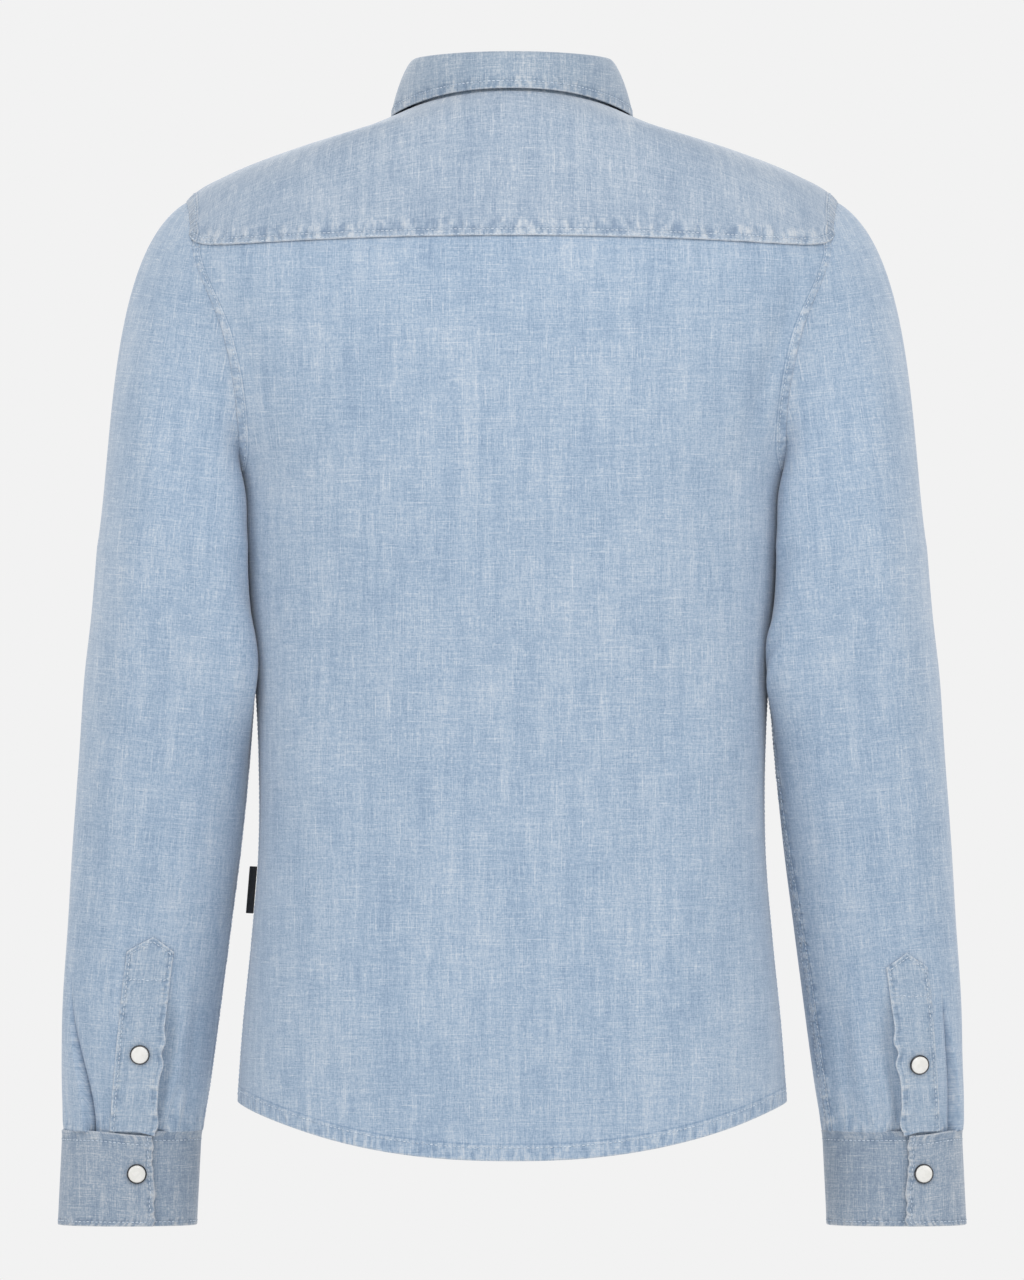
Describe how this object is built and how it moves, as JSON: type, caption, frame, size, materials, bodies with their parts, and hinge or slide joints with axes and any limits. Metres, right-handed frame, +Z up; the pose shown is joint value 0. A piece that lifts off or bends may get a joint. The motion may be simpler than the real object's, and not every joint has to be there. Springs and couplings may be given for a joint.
{
  "type": "denim shirt",
  "caption": "Long-sleeved snap-front denim shirt, filled out as worn with its arms hanging, with turned-down collar, back yoke, pleated sleeves and snapped cuffs.",
  "frame": {"origin": "centre of the neck opening, level with the shoulders beside the neck, where a wearer or a stand holds the shirt up", "axes": "+Z up, the front of the shirt faces -Y, +X is the wearer's left"},
  "size_m": [0.6204, 0.245, 0.7993],
  "materials": {
    "denim": "light blue slubbed cotton denim, matt",
    "pearl": "off-white pearl",
    "label": "black woven tape"
  },
  "bodies": {
    "root": {"back": "denim", "yoke": "denim", "front_left": "denim", "front_right": "denim", "front_placket": "denim", "collar_stand": "denim", "collar_leaf": "denim", "sleeve_left": "denim", "sleeve_right": "denim", "sleeve_placket_left": "denim", "sleeve_placket_right": "denim", "cuff_left": "denim", "cuff_right": "denim", "side_label": "label", "front_snap_1": "pearl", "front_snap_2": "pearl", "front_snap_3": "pearl", "front_snap_4": "pearl", "front_snap_5": "pearl", "front_snap_6": "pearl", "collar_snap": "pearl", "cuff_snap_left": "pearl", "cuff_snap_right": "pearl", "placket_snap_left": "pearl", "placket_snap_right": "pearl"}
  },
  "joints": []
}
